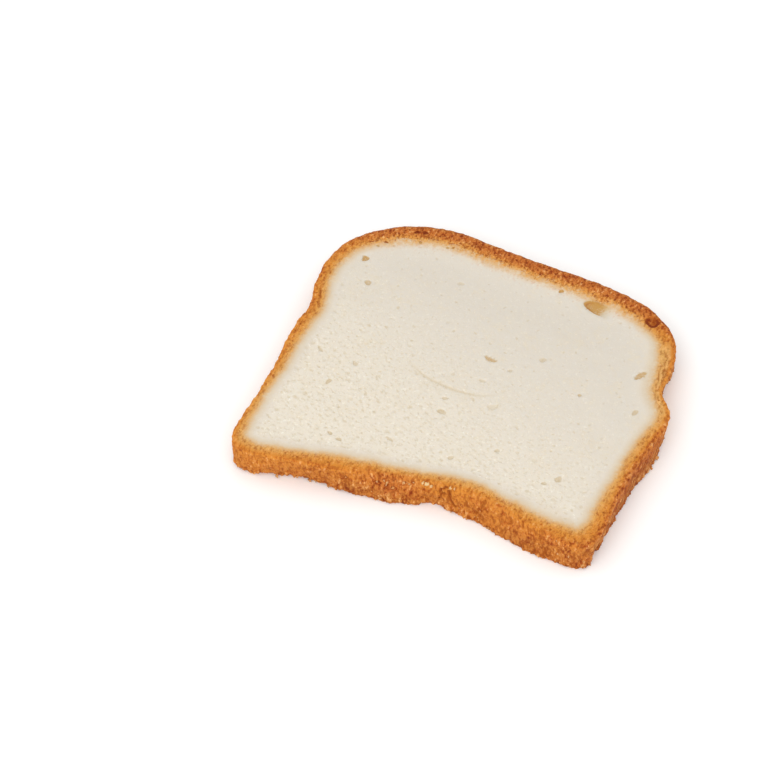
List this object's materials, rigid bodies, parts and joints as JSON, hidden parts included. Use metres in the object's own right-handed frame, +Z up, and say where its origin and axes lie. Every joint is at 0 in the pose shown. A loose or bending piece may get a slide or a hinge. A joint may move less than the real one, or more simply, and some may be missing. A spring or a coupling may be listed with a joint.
{
  "type": "tin loaf slice",
  "caption": "Single slice of pale white bread cut from a loaf baked in a tin, lying flat on its cut face.",
  "frame": {"origin": "on the surface that the slice lies on, under the middle of its bounding box", "axes": "+X across the slice, +Y from its flat-baked base crust to its domed top crust, +Z up out of the front cut face"},
  "size_m": [0.1164, 0.1056, 0.0105],
  "materials": {
    "baked_bread": "matte"
  },
  "bodies": {
    "root": {"bread_slice": "baked_bread"}
  },
  "joints": []
}
